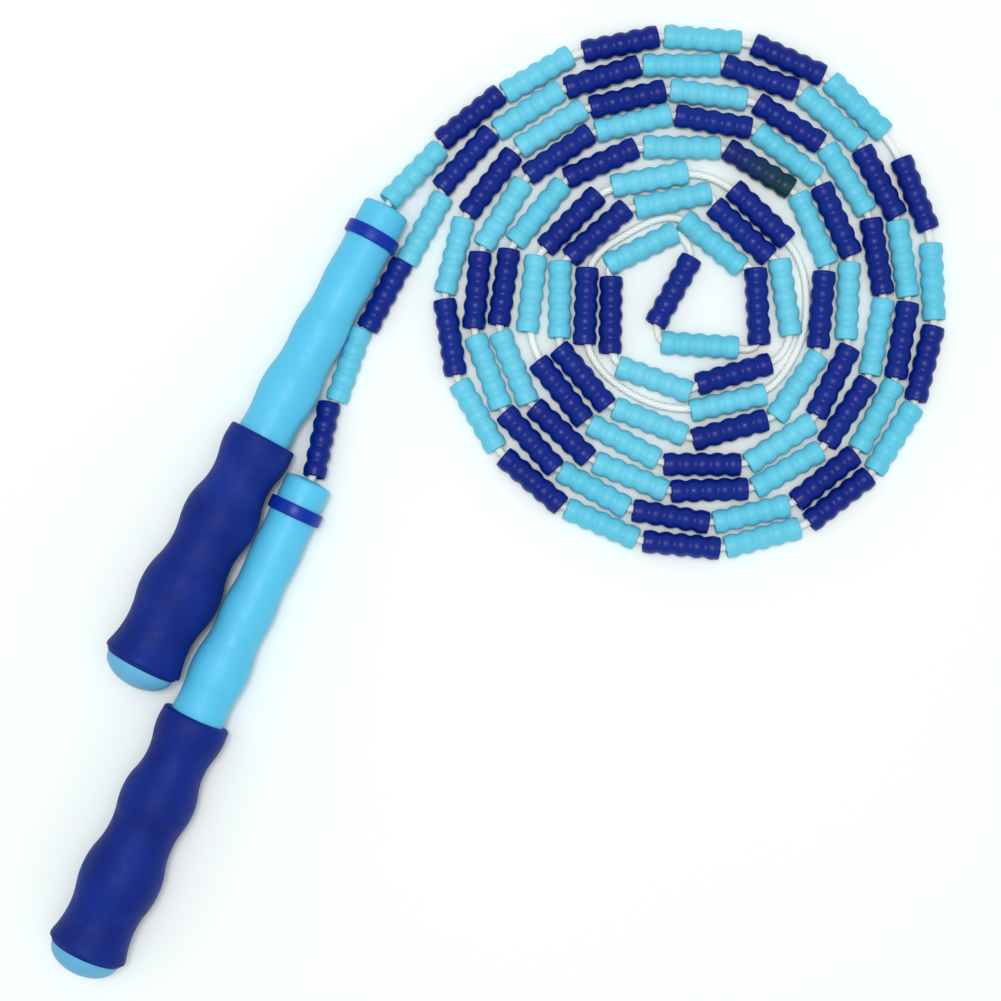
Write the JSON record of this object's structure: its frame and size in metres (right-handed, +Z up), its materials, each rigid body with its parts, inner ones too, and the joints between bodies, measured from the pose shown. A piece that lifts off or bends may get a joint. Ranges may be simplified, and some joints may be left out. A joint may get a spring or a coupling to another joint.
{
  "type": "beaded skipping rope",
  "caption": "Beaded skipping rope wound into a flat coil: ribbed plastic beads on a white braided cord between two wavy handles with soft grips.",
  "frame": {"origin": "on the table under the middle of the two handles' box", "axes": "+Z up off the table; +X from the handles toward the coil; +Y toward the handles' heads, in the plane of the table"},
  "size_m": [0.2877, 0.3063, 0.0269],
  "materials": {
    "cord": "braided",
    "bead_light": "satin",
    "bead_dark": "satin",
    "bead_teal": "satin",
    "handle_plastic": "satin",
    "cap_plastic": "satin",
    "collar_plastic": "satin",
    "grip_rubber": "matte"
  },
  "bodies": {
    "rope": {"cord": "cord", "end_knot_a": "cord", "end_knot_b": "cord", "teal_bead": "bead_teal", "light_beads_outer_a": "bead_light", "dark_beads_outer_a": "bead_dark", "dark_beads_middle_a": "bead_dark", "light_beads_middle_a": "bead_light", "light_beads_inner_a": "bead_light", "dark_beads_inner_a": "bead_dark", "dark_beads_inner_b": "bead_dark", "light_beads_inner_b": "bead_light", "light_beads_middle_b": "bead_light", "dark_beads_middle_b": "bead_dark", "light_beads_outer_b": "bead_light", "dark_beads_outer_b": "bead_dark"},
    "handle_a": {"handle_tube_a": "handle_plastic", "grip_sleeve_a": "grip_rubber", "collar_ring_a": "collar_plastic", "head_cap_a": "handle_plastic"},
    "end_cap_a_body": {"end_cap_a": "cap_plastic"},
    "handle_b": {"handle_tube_b": "handle_plastic", "grip_sleeve_b": "grip_rubber", "collar_ring_b": "collar_plastic", "head_cap_b": "handle_plastic"},
    "end_cap_b_body": {"end_cap_b": "cap_plastic"},
    "lead_bead_a1_body": {"lead_bead_a1": "bead_light"},
    "lead_bead_a2_body": {"lead_bead_a2": "bead_dark"},
    "lead_bead_b1_body": {"lead_bead_b1": "bead_dark"},
    "lead_bead_b2_body": {"lead_bead_b2": "bead_light"}
  },
  "joints": [
    {"name": "handle_a_swivel", "type": "hinge", "parent": "rope", "child": "handle_a", "pos_m": [0.05067, 0.12207, 0.0087], "axis": [0.4714, 0.8814, -0.0314], "continuous": true},
    {"name": "end_cap_a_pull", "type": "slide", "parent": "handle_a", "child": "end_cap_a_body", "axis": [-0.4714, -0.8814, 0.0314], "range_m": [0, 0.016]},
    {"name": "handle_b_swivel", "type": "hinge", "parent": "rope", "child": "handle_b", "pos_m": [0.02559, 0.03422, 0.0087], "axis": [0.4267, 0.9039, -0.0314], "continuous": true},
    {"name": "end_cap_b_pull", "type": "slide", "parent": "handle_b", "child": "end_cap_b_body", "axis": [-0.4267, -0.9039, 0.0314], "range_m": [0, 0.016]},
    {"name": "lead_bead_a1_spin", "type": "hinge", "parent": "rope", "child": "lead_bead_a1_body", "pos_m": [0.05906, 0.13279, 0.006], "axis": [0.6723, 0.7209, -0.1681], "continuous": true},
    {"name": "lead_bead_a2_spin", "type": "hinge", "parent": "rope", "child": "lead_bead_a2_body", "pos_m": [0.07703, 0.15152, 0.0039], "axis": [0.7771, 0.6293, 0], "continuous": true},
    {"name": "lead_bead_b1_spin", "type": "hinge", "parent": "rope", "child": "lead_bead_b1_body", "pos_m": [0.02909, 0.04716, 0.006], "axis": [-0.1881, -0.9677, 0.1681], "continuous": true},
    {"name": "lead_bead_b2_spin", "type": "hinge", "parent": "rope", "child": "lead_bead_b2_body", "pos_m": [0.0376, 0.07129, 0.0039], "axis": [-0.3256, -0.9455, 0], "continuous": true}
  ]
}
